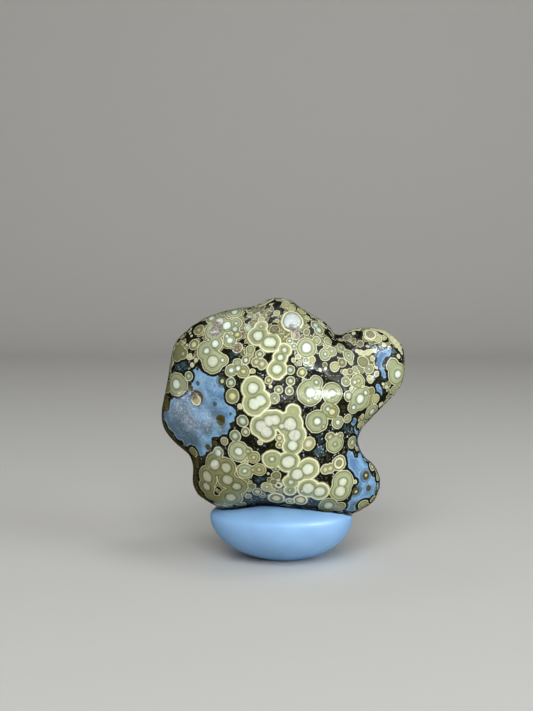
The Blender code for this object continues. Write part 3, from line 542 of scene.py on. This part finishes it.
class EyeField:
    """The eyes laid so far, to which eyes for the hidden sides are added where they fit."""

    def __init__(self, tree, rows, quiet):
        self.tree = tree
        self.rows = rows
        self.quiet = quiet

    def fits(self, spot, normal, size, spacing, chance):
        """True where an eye of that size keeps its distance and the camera has no fair view."""
        table = np.array(self.rows)
        gaps = np.linalg.norm(table[:, :3] - np.array(spot / MM), axis=1)
        if np.any(gaps < spacing * (table[:, 3] + size)):
            return False
        inside = self.quiet[:, 3] - np.linalg.norm(self.quiet[:, :3] - np.array(spot / MM), axis=1)
        if inside.max() > -QUIET_MARGIN * size and chance > LONE_IN_QUIET:
            return False
        return not seen_from_camera(self.tree, spot, normal)

    def add(self, spot, size, kind, share):
        """Adds an eye whose core is larger or smaller with the share from 0 to 1."""
        core = size * (CORE_SHARE + CORE_VARIES * share) if size > CORED_EYE else 0.0
        if kind in ("CREAM", "CREAMY", "BROWNISH"):
            core = 0.0
        if kind in ("BOLD", "SPOTTED"):
            core = size * (BOLD_CORE_SHARE + BOLD_CORE_VARIES * share)
        self.rows.append((*(spot / MM), size, core, KIND_NAMES.index(kind)))

    def grow_chain(self, spot, normal, size, kind, chain, rng):
        """Adds eyes of one kind that run into each other, starting at an eye."""
        while rng.random() < chain:
            turn = rng.uniform(0.0, 2 * math.pi)
            sideways = normal.orthogonal().normalized()
            sideways = sideways * math.cos(turn) + normal.cross(sideways) * math.sin(turn)
            next_size = size * rng.uniform(CHAIN_SMALLER, CHAIN_LARGER)
            step = CHAIN_STEP * (size + next_size) * MM
            spot, normal, _, _ = self.tree.find_nearest(spot + sideways * step)
            if not self.fits(spot, normal, next_size, CHAIN_SPACING, 0.0):
                return
            self.add(spot, next_size, kind, rng.random())
            size = next_size


def all_eyes(tree, points, triangles, quiet):
    """The front's eyes, and eyes for the sides, back and underside, alone and in chains like them."""
    rng = np.random.default_rng(SCATTER_SEED)
    middles = points[triangles].sum(axis=1) / 3
    normals = face_normals(points, triangles)
    areas = np.linalg.norm(normals, axis=1)
    field = EyeField(tree, front_eyes(tree), quiet)
    for scatter in SCATTER:
        for pick in rng.choice(len(triangles), size=scatter.tries, p=areas / areas.sum()):
            size = rng.uniform(scatter.smallest, scatter.largest)
            chance, kind_chance, share = rng.random(3)
            spot = Vector(middles[pick])
            normal = Vector(normals[pick] / areas[pick])
            if field.fits(spot, normal, size, scatter.spacing, chance):
                kind = pick_kind(size, kind_chance)
                field.add(spot, size, kind, share)
                field.grow_chain(spot, normal, size, kind, scatter.chain, rng)
    return np.array(field.rows, float)


BLOCK = 4000


def deepest(points, eyes, count):
    """For points in millimetres, the rows of the eyes that reach deepest over them, and how deep."""
    order = np.empty((len(points), count), int)
    depths = np.empty((len(points), count))
    for start in range(0, len(points), BLOCK):
        block = slice(start, start + BLOCK)
        offsets = points[block, None, :] - eyes[None, :, :3]
        offsets[:, :, 1] *= 1.0 - eyes[None, :, 5] % 1.0
        reach = eyes[None, :, 3] - np.linalg.norm(offsets, axis=2)
        order[block] = np.argsort(-reach, axis=1)[:, :count]
        depths[block] = np.take_along_axis(reach, order[block], axis=1)
    return order, depths


AREA_SHARPNESS = 8.0
AREA_REACH = 6.0


def area_depth(points, spheres):
    """How far (mm) each point is inside the nearest sphere's edge, negative outside."""
    reach = np.full(len(points), -np.inf)
    for x, y, z, radius, share in spheres:
        depth = radius - np.linalg.norm((points / MM - (x, y, z)) * (1.0, share, 1.0), axis=1)
        reach = np.logaddexp(reach, np.clip(depth, -AREA_REACH, AREA_REACH) * AREA_SHARPNESS)
    return reach / AREA_SHARPNESS


# Attributes that carry the eyes and areas to the material

NEAREST = 6


def store(mesh, name, kind, domain, values):
    """Writes one attribute."""
    attribute = mesh.attributes.new(name, kind, domain)
    key = "vector" if kind == "FLOAT_VECTOR" else "value"
    attribute.data.foreach_set(key, np.ascontiguousarray(values, np.float32).ravel())


def store_eyes(mesh, points, triangles, eyes):
    """Stores on each face the eyes that reach deepest over it, as place and size vectors."""
    order, _ = deepest(points[triangles].mean(axis=1) / MM, eyes, NEAREST)
    for rank in range(NEAREST):
        chosen = eyes[order[:, rank]]
        store(mesh, f"eye{rank}_place", "FLOAT_VECTOR", "FACE", chosen[:, :3])
        store(mesh, f"eye{rank}_size", "FLOAT_VECTOR", "FACE", chosen[:, 3:])


# Material nodes

class Value:
    """What a node gives out. Arithmetic on numbers adds math nodes."""

    def __init__(self, nodes, socket):
        self.nodes = nodes
        self.socket = socket

    def output(self, name):
        """Another output of the same node."""
        return Value(self.nodes, self.socket.node.outputs[name])

    def __add__(self, other):
        return self.nodes.math("ADD", self, other)

    def __sub__(self, other):
        return self.nodes.math("SUBTRACT", self, other)

    def __rsub__(self, other):
        return self.nodes.math("SUBTRACT", other, self)

    def __mul__(self, other):
        return self.nodes.math("MULTIPLY", self, other)

    def __truediv__(self, other):
        return self.nodes.math("DIVIDE", self, other)


class Nodes:
    """Short calls that add shader nodes to one material and link them."""

    def __init__(self, name):
        self.material = bpy.data.materials.new(name)
        self.material.use_nodes = True
        self.tree = self.material.node_tree
        self.tree.nodes.clear()

    def add(self, kind, inputs=None, output=0, **settings):
        """Adds a node whose inputs are linked to values or set to constants, and gives one output."""
        node = self.tree.nodes.new(kind)
        for name, value in settings.items():
            setattr(node, name, value)
        for name, value in (inputs or {}).items():
            if isinstance(value, Value):
                self.tree.links.new(value.socket, node.inputs[name])
            else:
                node.inputs[name].default_value = value
        return Value(self, node.outputs[output]) if node.outputs else None

    def math(self, operation, *values, clamp=False):
        return self.add("ShaderNodeMath", dict(enumerate(values)), operation=operation, use_clamp=clamp)

    def inverse(self, value):
        """1 minus a value."""
        return self.math("SUBTRACT", 1.0, value, clamp=True)

    def wave(self, value, length):
        """A sine between -1 and 1 with waves of that length."""
        return self.math("SINE", value * (2 * math.pi / length))

    def vector(self, operation, *values, output=0):
        return self.add("ShaderNodeVectorMath", dict(enumerate(values)), output, operation=operation)

    def scaled(self, vector, factor):
        return self.add("ShaderNodeVectorMath", {"Vector": vector, "Scale": factor}, operation="SCALE")

    def split(self, vector):
        """The three numbers of a vector or colour."""
        first = self.add("ShaderNodeSeparateXYZ", {0: vector})
        return first, first.output(1), first.output(2)

    def mix(self, factor, first, second, blend="MIX"):
        """The first colour where the factor is 0 and the second where it is 1."""
        inputs = {0: factor, 6: first, 7: second}
        return self.add("ShaderNodeMix", inputs, 2, data_type="RGBA", blend_type=blend)

    def choose(self, factor, first, second):
        """The first vector where the factor is 0 and the second where it is 1."""
        return self.add("ShaderNodeMix", {0: factor, 4: first, 5: second}, 1, data_type="VECTOR")

    def dim(self, colour, shade):
        """A colour multiplied by a number."""
        grey = self.add("ShaderNodeCombineColor", {0: shade, 1: shade, 2: shade})
        return self.mix(1.0, colour, grey, "MULTIPLY")

    def rise(self, value, start, end):
        """0 below start and 1 above end, with a smooth step between."""
        inputs = {"Value": value, "From Min": start, "From Max": end}
        return self.add("ShaderNodeMapRange", inputs, interpolation_type="SMOOTHSTEP", clamp=True)

    def fall(self, value, start, end):
        """1 below start and 0 above end, with a smooth step between."""
        return self.inverse(self.rise(value, start, end))

    def between(self, value, start, end, soft):
        """1 between start and end, fading to 0 over the soft width on both sides."""
        up = self.rise(value, start - soft, start + soft)
        down = self.rise(value, end - soft, end + soft)
        return self.math("SUBTRACT", up, down, clamp=True)

    def noise(self, place, scale, detail=2.0, roughness=0.5):
        """Noise from 0 to 1."""
        inputs = {"Vector": place, "Scale": scale, "Detail": detail, "Roughness": roughness}
        return self.add("ShaderNodeTexNoise", inputs)

    def wobble(self, place, scale, reach):
        """The place moved by up to the reach, in waves of that scale."""
        drift = self.noise(place, scale).output("Color")
        drift = self.vector("SUBTRACT", drift, (0.5, 0.5, 0.5))
        return self.vector("ADD", place, self.scaled(drift, reach))

    def cells(self, place, scale, **settings):
        """Distance from the nearest of some scattered points, and a random colour for each of them."""
        inputs = {"Vector": place, "Scale": scale, "Randomness": 1.0}
        distance = self.add("ShaderNodeTexVoronoi", inputs, **settings)
        return distance, distance.output("Color")

    def attribute(self, name, output="Fac"):
        return self.add("ShaderNodeAttribute", {}, output, attribute_type="GEOMETRY", attribute_name=name)

    def steps(self, value, colours):
        """A ramp with one flat colour for each whole number from 0 up."""
        chosen = self.add("ShaderNodeValToRGB", {0: (value + 0.5) / len(colours)})
        ramp = chosen.socket.node.color_ramp
        ramp.interpolation = "CONSTANT"
        for index, colour in enumerate(colours):
            place = index / len(colours)
            element = ramp.elements[index] if index < 2 else ramp.elements.new(place)
            element.position = place
            element.color = colour
        return chosen

    def place(self):
        """Each point's own place, in millimetres."""
        return self.scaled(self.add("ShaderNodeTexCoord", {}, "Object"), 1.0 / MM)

    def bump(self, height):
        """The surface's direction with small bumps of a height in millimetres."""
        return self.add("ShaderNodeBump", {"Strength": 1.0, "Distance": MM, "Height": height})

    def finish(self, inputs):
        """The material, whose surface has these inputs."""
        surface = self.add("ShaderNodeBsdfPrincipled", inputs)
        self.add("ShaderNodeOutputMaterial", {"Surface": surface})
        return self.material


# Buds of the crust: how many in a millimetre, and their radii (mm) at its edge and inside it
BUDS_PER_MM = 1.05
BUD_SMALLEST = -0.05
BUD_LARGEST = 0.70
GAP_SHRINK = 0.50

# Widths and places of the lines in an eye, in millimetres inward from its outline or outward from its core
RIM_END = 0.08
LINE_START = 0.10
LINE_END = 0.23
BOLD_START = 0.09
BOLD_END = 0.24
CORE_RING = 0.20
LIGHT_START = 0.28
LIGHT_END = 0.60
HALO = 0.30
RING_SPACING = 0.27
EYE_MERGE = 0.16
BLUE_BANDS = 0.6

RIM = srgb(222, 220, 182)
RIM_OUTSIDE_BOLD = srgb(166, 162, 114)
LINE = srgb(104, 98, 54)
BOLD_BAND = srgb(244, 242, 208)
CORE_FLECK = srgb(132, 112, 100)
PALE_RING = srgb(230, 228, 194)
HALO_COLOUR = srgb(30, 30, 20)
BLUE_BORDER = srgb(50, 46, 26)
BLACK = srgb(18, 19, 15)
MATRIX_FLECK = srgb(188, 202, 206)
MATRIX_MOSS = srgb(66, 62, 38)
BLUE_DEEP = srgb(98, 134, 172)
BLUE_LIGHT = srgb(138, 182, 218)
# Grey of the blue stone, which on the lower left of the left blue patch is a painted reflection.
BLUE_GREY_AND_REFLECTION = srgb(94, 114, 127)
# Milky blue, which in the middle of the left blue patch is a painted sheen.
BLUE_HAZE_AND_SHEEN = srgb(150, 188, 220)
# Painted glints on the blue stone.
BLUE_PAINTED_GLINT = srgb(214, 230, 240)
BLUE_SHADE = srgb(88, 122, 160)
BLUE_LINE = srgb(162, 196, 218)
TEAL_LIGHT = srgb(78, 100, 102)
TEAL_DARK = srgb(30, 46, 46)
# Brown of the brown areas, which along the lower-left edge is painted shade.
OLIVE_BROWN = srgb(68, 62, 38)
CRUST_BAND = srgb(114, 114, 72)
CRUST_PALE = srgb(158, 160, 116)
PIT = srgb(86, 74, 64)
PIT_PALE = srgb(176, 166, 150)


def nearest_eye(n, place):
    """Depth, core depth, place and size of the eye that each point belongs to."""
    depth = core_depth = best = owner_place = owner_size = None
    for rank in range(NEAREST):
        centre = n.attribute(f"eye{rank}_place", "Vector")
        size = n.attribute(f"eye{rank}_size", "Vector")
        radius, core, kind = n.split(size)
        share = n.inverse(n.math("FRACT", kind))
        shares = n.add("ShaderNodeCombineXYZ", {0: 1.0, 1: share, 2: 1.0})
        offset = n.vector("MULTIPLY", n.vector("SUBTRACT", place, centre), shares)
        gap = n.vector("LENGTH", offset, output="Value")
        this_depth = radius - gap
        this_core = core - gap
        if rank == 0:
            depth, core_depth, best = this_depth, this_core, this_depth
            owner_place, owner_size = centre, size
            continue
        deeper = n.math("GREATER_THAN", this_depth, best)
        owner_place = n.choose(deeper, owner_place, centre)
        owner_size = n.choose(deeper, owner_size, size)
        best = n.math("MAXIMUM", best, this_depth)
        depth = n.math("SMOOTH_MAX", depth, this_depth, EYE_MERGE)
        core_depth = n.math("MAXIMUM", core_depth, this_core)
    return depth, core_depth, owner_place, owner_size


def matrix_flecks(n, place):
    """How strongly the many small blue-white flecks of the black matrix show."""
    flecks = n.rise(n.noise(place, 3.6, 2.0, 0.6), 0.59, 0.65)
    crowd = n.rise(n.noise(place, 0.7), 0.44, 0.60)
    distance, chance = n.cells(place, 2.2)
    keep = n.math("GREATER_THAN", n.split(chance)[0], 0.72)
    return n.math("MAXIMUM", flecks * crowd * 0.85, n.fall(distance, 0.12, 0.22) * keep)


def blue_colour(n, place, depth, blue_depth):
    """Cloudy blue chalcedony, greyer in places, with a pale line round the eyes in it; the grey on the
    lower left is a painted reflection, and the milky middle carries a painted sheen and painted glints.
    """
    colour = n.mix(n.rise(n.noise(place, 0.55, 4.0, 0.6), 0.36, 0.64), BLUE_DEEP, BLUE_LIGHT)
    ragged = (n.noise(place, 0.7, 4.0, 0.6) - 0.5) * 2.2
    # Greyer blue, which on the lower left of the left blue patch is a painted reflection.
    grey_and_reflection_veil = n.rise(n.attribute("grey") + ragged, -0.7, 0.7)
    colour = n.mix(grey_and_reflection_veil * 0.92, colour, BLUE_GREY_AND_REFLECTION)
    bands = n.wave(blue_depth + ragged, BLUE_BANDS)
    fine = n.noise(n.wobble(place, 1.6, 0.5), 3.2, 4.0, 0.7)
    colour = n.dim(colour, fine * 0.36 + 0.80 + bands * 0.05)
    # Milky haze, which in the middle of the left blue patch is a painted sheen, with painted glints in it.
    haze_and_sheen_share = n.rise(n.attribute("haze_and_sheen") + ragged * 0.5, -0.6, 0.6)
    colour = n.mix(haze_and_sheen_share * n.rise(fine, 0.25, 0.6), colour, BLUE_HAZE_AND_SHEEN)
    # Painted glints: white-blue specks in the colour that stand in for highlights.
    painted_glints = n.rise(n.noise(place, 3.4, 2.0, 0.7), 0.54, 0.64)
    colour = n.mix(painted_glints * haze_and_sheen_share * 0.8, colour, BLUE_PAINTED_GLINT)
    colour = n.mix(n.rise(n.attribute("deep"), -0.4, 0.4), colour, BLUE_SHADE)

    scratch = n.between(n.noise(n.wobble(place, 0.6, 1.0), 1.3, 1.0), 0.49, 0.51, 0.01)
    line = n.between(depth, -HALO - 0.20, -HALO - 0.10, 0.05)
    line = n.math("MAXIMUM", line, scratch) * n.rise(n.noise(place, 0.9), 0.40, 0.62)
    edge = n.between(blue_depth, 0.02, 0.12, 0.04) * n.rise(n.noise(place, 0.6), 0.30, 0.50)
    return n.mix(n.math("MAXIMUM", line, edge) * 0.75, colour, BLUE_LINE)


def crust_colour(n, place, crust):
    """Small buds that run together into a pale crust and leave black gaps with cream rims, and how deep."""
    bent = n.wobble(place, 1.2, 0.35)
    distance, chance = n.cells(bent, BUDS_PER_MM)
    second, _ = n.cells(bent, BUDS_PER_MM, feature="F2")
    wall = (second - distance) / BUDS_PER_MM
    distance = distance / BUDS_PER_MM
    walled = n.rise(n.noise(place, 0.8), 0.36, 0.52)
    size = n.rise(crust, -0.7, 0.5) * (BUD_LARGEST - BUD_SMALLEST) + BUD_SMALLEST
    size = size + (n.noise(place, 0.6) - 0.5) * 0.30
    torn = n.noise(place, 1.8, 3.0) - 0.5
    gap = n.rise(n.attribute("gaps") + torn, -0.20, 0.25)
    bud = size - gap * GAP_SHRINK - distance

    colour = n.mix(n.split(chance)[0], CRUST_BAND, CRUST_PALE)
    colour = n.dim(colour, n.noise(place, 1.8, 3.0, 0.6) * 0.5 + 0.72)
    colour = n.dim(colour, n.wave(bud, RING_SPACING) * 0.09 + 1.0)
    keep = n.math("GREATER_THAN", n.split(chance)[1], 0.45)
    colour = n.mix(n.fall(distance, 0.06, 0.20) * keep, colour, RIM)
    colour = n.mix(n.between(wall, 0.10, 0.24, 0.05) * walled * 0.7, colour, LINE)
    colour = n.mix(n.fall(wall, 0.05, 0.12) * walled * 0.85, colour, RIM)
    colour = n.mix(n.between(bud, LINE_START - 0.03, LINE_END - 0.06, 0.03) * 0.55, colour, LINE)
    return n.mix(n.fall(bud, RIM_END - 0.04, RIM_END), colour, RIM), bud


def ground_colour(n, place, depth, halo_share):
    """What lies between the eyes: black matrix with moss-brown grains, pools of other stone and crust,
    where the grey on the lower left is a painted reflection and the brown along the lower-left edge is
    painted shade.
    """
    grains = n.noise(place, 2.6, 4.0, 0.65)
    drift = (n.noise(place, 0.9, 3.0) - 0.5) * 1.3
    blue_depth = n.attribute("blue") + drift * 0.5
    crust_depth = n.attribute("crust") + drift

    colour = n.mix(n.rise(n.noise(place, 1.9, 4.0, 0.65), 0.50, 0.66), BLACK, MATRIX_MOSS)
    # Brown stone, which along the lower-left edge is painted shade.
    brown = n.mix(n.rise(grains, 0.35, 0.6), HALO_COLOUR, OLIVE_BROWN)
    colour = n.mix(n.rise(n.attribute("brown") + drift, -0.2, 0.4), colour, brown)
    teal = n.mix(n.rise(grains, 0.40, 0.66), TEAL_DARK, TEAL_LIGHT)
    colour = n.mix(n.rise(n.attribute("teal") + drift, -0.2, 0.4), colour, teal)
    colour = n.mix(n.between(blue_depth, -0.30, -0.05, 0.08), colour, BLUE_BORDER)
    blue = blue_colour(n, place, depth, blue_depth)
    colour = n.mix(n.rise(blue_depth, -0.06, 0.04), colour, blue)

    halo = n.rise(depth, -HALO - 0.07, -HALO + 0.05)
    colour = n.mix(halo * halo_share, colour, HALO_COLOUR)
    bare = n.fall(blue_depth, -0.3, -0.1) * n.fall(crust_depth, -0.9, -0.3)
    flecks = matrix_flecks(n, place) * bare * n.fall(depth, -0.14, -0.06)
    colour = n.mix(flecks, colour, MATRIX_FLECK)
    crust, bud = crust_colour(n, place, crust_depth)
    crust = n.mix(n.between(depth, -0.10, 0.0, 0.03) * 0.7, crust, LINE)
    bud_halo = n.rise(bud, -0.16, -0.06) * n.rise(crust_depth, -0.7, -0.3)
    colour = n.mix(bud_halo, colour, HALO_COLOUR)
    return n.mix(n.rise(bud, -0.03, 0.02), colour, crust)


def eye_colour(n, place, depth, core_depth, owner_place, owner_size):
    """Rim, lines, olive band and pale core of the eyes, and how strong the halo round them is."""
    radius, core, kind = n.split(owner_size)
    kind = n.math("FLOOR", kind)
    kinds = KINDS.values()
    band = n.steps(kind, [srgb(*k.band) for k in kinds])
    core_tint = n.steps(kind, [srgb(*k.core) for k in kinds])
    rim, bold, flecked = n.split(n.steps(kind, [(k.rim, k.bold, k.flecks, 1.0) for k in kinds]))
    ring, dark_line, halo = n.split(n.steps(kind, [(k.ring, k.line, k.halo, 1.0) for k in kinds]))
    has_core = n.math("GREATER_THAN", core, 0.02)
    core_gap = core_depth * -1.0

    chance = n.add("ShaderNodeTexWhiteNoise", {"Vector": owner_place}, noise_dimensions="3D")
    shade = (chance * 0.16 + 0.92) * (n.noise(place, 1.9, 4.0, 0.65) * 0.40 + 0.80)
    shade = shade * (n.wave(depth, RING_SPACING) * 0.08 + 1.0)
    dark_ring = n.between(core_gap, 0.0, CORE_RING, 0.08) * has_core
    light_ring = n.between(core_gap, LIGHT_START, LIGHT_END, 0.12) * has_core
    shade = shade * (dark_ring * -0.34 + 1.0) * (light_ring * 0.15 + 1.0)
    colour = n.dim(band, shade)

    line = n.between(depth, LINE_START, LINE_END, 0.04) * n.rise(radius, 0.35, 0.6) * dark_line
    colour = n.mix(line * (1.0 - bold) * 0.62, colour, LINE)
    bright = n.between(depth, BOLD_START, BOLD_END, 0.04) * bold
    colour = n.mix(bright * 0.95, colour, BOLD_BAND)

    colour = n.mix(n.between(core_depth, -0.22, -0.02, 0.04) * ring, colour, PALE_RING)
    core_tint = n.dim(core_tint, n.rise(core_depth, 0.0, 0.30) * 0.14 + 0.90)
    core_tint = n.dim(core_tint, n.noise(place, 3.0, 3.0, 0.65) * 0.44 + 0.80)
    flecks = n.rise(n.noise(place, 4.2, 3.0, 0.7), 0.56, 0.66)
    core_tint = n.mix(flecks * flecked * 0.8, core_tint, CORE_FLECK)
    colour = n.mix(n.rise(core_depth, -0.10, 0.08), colour, core_tint)

    rim_tint = n.mix(bold, RIM, RIM_OUTSIDE_BOLD)
    rim_share = n.fall(depth, RIM_END - 0.02, RIM_END + 0.02) * rim
    return n.mix(rim_share, colour, rim_tint), halo


def pitted(n, place, colour):
    """Grey-brown pits with pale grains, where the wind has opened small hollows."""
    ragged = (n.noise(place, 2.2, 3.0) - 0.5) * 1.8
    tint = n.mix(n.rise(n.noise(place, 4.5, 3.0, 0.7), 0.44, 0.60), PIT, PIT_PALE)
    return n.mix(n.rise(n.attribute("pits") + ragged, -0.05, 0.10) * 0.8, colour, tint)


# The polish, and the heights of its small bumps in millimetres: the skin's, the grain's and the scratches'
POLISHED = 0.04
POLISH_VARIES = 0.14
WORN = 0.85
SKIN_BUMP = 0.028
GRAIN_BUMP = 0.020
SCRATCH_BUMP = 0.09
AGATE_IOR = 1.54


def agate_material():
    """Olive and cream eyes with dark outlines in black and blue chalcedony, under a wind polish."""
    n = Nodes("agate")
    place = n.place()
    bent = n.wobble(n.wobble(place, 0.9, 0.26), 2.8, 0.13)
    depth, core_depth, owner_place, owner_size = nearest_eye(n, bent)
    eyes, halo = eye_colour(n, place, depth, core_depth, owner_place, owner_size)
    ground = ground_colour(n, place, depth, halo)
    colour = pitted(n, place, n.mix(n.rise(depth, -0.03, 0.03), ground, eyes))

    matt = n.rise(n.attribute("matt"), -0.5, 0.3)
    roughness = n.noise(place, 1.1, 4.0, 0.6) * POLISH_VARIES + POLISHED + matt * WORN
    skin = n.noise(n.vector("MULTIPLY", place, (3.0, 3.0, 1.0)), 1.5, 4.0, 0.6)
    grain = n.noise(place, 3.8, 1.0, 0.6)
    dark = n.fall(depth, -0.15, 0.05)
    etched = n.rise(n.attribute("etched"), -0.6, 0.4)
    scratches = n.noise(n.vector("MULTIPLY", place, (2.4, 2.4, 1.0)), 2.2, 1.0, 0.5)
    height = skin * SKIN_BUMP + (dark * GRAIN_BUMP + GRAIN_BUMP) * grain + etched * scratches * SCRATCH_BUMP
    bump = n.bump(height)
    return n.finish({"Base Color": colour, "Roughness": roughness, "IOR": AGATE_IOR, "Normal": bump})


PUTTY_PALE = srgb(148, 193, 238)
PUTTY_DEEP = srgb(142, 186, 232)
PUTTY_SPECK = srgb(86, 112, 146)


def putty_material():
    """Soft blue putty with a faint mottle, a waxy sheen and a few dark specks."""
    n = Nodes("putty")
    place = n.place()
    mottle = n.noise(place, 0.30, 4.0, 0.6)
    grain = n.noise(place, 5.0, 3.0, 0.6)
    colour = n.mix(n.rise(mottle, 0.35, 0.65), PUTTY_DEEP, PUTTY_PALE)
    specks = n.rise(n.noise(place, 2.4, 3.0, 0.6), 0.70, 0.76)
    colour = n.mix(specks * 0.6, colour, PUTTY_SPECK)
    height = grain * 0.010 + mottle * 0.06
    return n.finish({"Base Color": colour, "Roughness": grain * 0.12 + 0.42, "Normal": n.bump(height)})


# Pieces

STONE_ROUNDS = 2
PAD_ROUNDS = 3
SKIN_LUMP = 2.2 * MM
SKIN_RISE = 0.05 * MM
FINE_LUMP = 0.8 * MM
FINE_RISE = 0.015 * MM
EYE_RISE = 0.045 * MM
PIT_LUMP = 0.5 * MM
PIT_DROP = 0.16 * MM
SWELL_RISE = 0.14 * MM


def relief(points, eyes, depths):
    """How far the surface stands out: eyes above the matrix, pits below it, and a slight unevenness."""
    _, eye_depths = deepest(points / MM, eyes, 1)
    crust = smooth_step(depths["crust"], -0.3, 0.2) * 0.7
    raised = np.maximum(smooth_step(eye_depths[:, 0], -0.20, 0.25), crust)
    skin = noise_field(points, SKIN_LUMP, 1) * SKIN_RISE + noise_field(points, FINE_LUMP, 2) * FINE_RISE
    skin = skin + smooth_step(depths["swell"], -0.9, 0.8) * SWELL_RISE
    hollow = smooth_step(depths["pits"], -0.15, 0.25) * (0.5 + 0.5 * noise_field(points, PIT_LUMP, 3))
    return skin + (raised - 1.0) * EYE_RISE - hollow * PIT_DROP


def make_stone():
    """The whole stone in a fine mesh that carries its eyes."""
    points, triangles, corners = fine_mesh("agate", STONE_ROUNDS)
    tree = BVHTree.FromPolygons(points.tolist(), triangles.tolist())
    areas = {name: area_spheres(tree, name) for name in FRONT_AREAS}
    eyes = all_eyes(tree, points, triangles, np.concatenate([areas["blue"], areas["brown"]]))
    depths = {name: area_depth(points, spheres) for name, spheres in areas.items()}
    rise = relief(points, eyes, depths)
    points = np.clip(points + corner_normals(points, triangles) * rise[:, None], *corners)

    piece = mesh_object("agate_stone", points.tolist(), triangles.tolist())
    store_eyes(piece.data, points, triangles, eyes)
    for name, values in depths.items():
        store(piece.data, name, "FLOAT", "POINT", values)
    piece.data.materials.append(agate_material())
    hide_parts("agate")
    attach(piece, "root")


def make_pad():
    """The putty under the stone, softly rounded."""
    points, triangles, corners = fine_mesh("putty_pad", PAD_ROUNDS)
    piece = mesh_object("putty_lump", np.clip(points, *corners).tolist(), triangles.tolist())
    piece.data.materials.append(putty_material())
    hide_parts("putty_pad")
    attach(piece, "root")


# Studio

FLOOR_COLOUR = srgb(206, 202, 195)
FLOOR_HALF = 0.6
BACKDROP_BACK = 0.30
BACKDROP_RADIUS = 0.15
BACKDROP_HEIGHT = 0.7
BACKDROP_STEPS = 16


def make_floor():
    """A plain pale floor that curves up into a backdrop."""
    profile = [(-FLOOR_HALF, 0.0)]
    for step in range(BACKDROP_STEPS + 1):
        angle = math.radians(90) * step / BACKDROP_STEPS
        back = BACKDROP_BACK + BACKDROP_RADIUS * math.sin(angle)
        profile.append((back, BACKDROP_RADIUS * (1 - math.cos(angle))))
    profile.append((BACKDROP_BACK + BACKDROP_RADIUS, BACKDROP_HEIGHT))
    points = [(side * FLOOR_HALF * 2, y, z) for y, z in profile for side in (-1, 1)]
    faces = [(2 * i, 2 * i + 1, 2 * i + 3, 2 * i + 2) for i in range(len(profile) - 1)]
    floor = mesh_object("floor", points, faces)
    floor.data.materials.append(Nodes("floor").finish({"Base Color": FLOOR_COLOUR, "Roughness": 0.8}))
    floor.visible_glossy = False


# Soft boxes: the direction from the stone in degrees (turn 0 = the camera's side, 90 = the right), the
# distance, width and height in metres, the power in watts, and what they light: two broad boxes leave no
# highlight, and three small ones leave nothing but highlights
SKY = (0.93, 0.97, 1.0)
SPARK_SKY = (0.80, 0.91, 1.0)
SURROUND = srgb(188, 190, 194)
SURROUND_STRENGTH = 0.40
BOX_FIELDS = "turn rise distance width height power diffuse glossy colour"
Box = namedtuple("Box", BOX_FIELDS, defaults=(True, True, SKY))
BOXES = {
    "front": Box(-2, 37, 0.45, 0.30, 0.30, 1.60, glossy=False),
    "key": Box(60, 10, 0.35, 0.16, 0.10, 0.50, glossy=False),
    "spark": Box(60, 32, 0.34, 0.14, 0.13, 2.4, diffuse=False, colour=SPARK_SKY),
    "neck": Box(10, 38, 0.34, 0.05, 0.05, 0.11, diffuse=False),
    "top": Box(83, 74, 0.34, 0.10, 0.10, 0.16),
    "left": Box(-92, -8, 0.07, 0.005, 0.005, 0.0016, diffuse=False),
    "back": Box(-140, 56, 0.34, 0.10, 0.08, 0.05),
}


def make_box(name, box):
    """A soft box turned to the stone."""
    data = bpy.data.lights.new(name, "AREA")
    data.shape = "RECTANGLE"
    data.size = box.width
    data.size_y = box.height
    data.energy = box.power
    data.color = box.colour
    light = add_object(name, data)
    away = outward(box.turn, box.rise)
    light.location = STONE_MIDDLE + away * box.distance
    light.rotation_euler = (-away).to_track_quat("-Z", "Y").to_euler()
    light.visible_diffuse = box.diffuse
    light.visible_glossy = box.glossy


def make_studio():
    """The soft boxes and an even grey surround."""
    for name, box in BOXES.items():
        make_box(name, box)
    world = bpy.data.worlds.new("studio")
    world.use_nodes = True
    background = world.node_tree.nodes["Background"]
    background.inputs["Color"].default_value = SURROUND
    background.inputs["Strength"].default_value = SURROUND_STRENGTH
    bpy.context.scene.world = world
    world.cycles_visibility.glossy = False
    bpy.context.scene.view_settings.view_transform = "Standard"


make_camera()
make_stone()
make_pad()
make_floor()
make_studio()
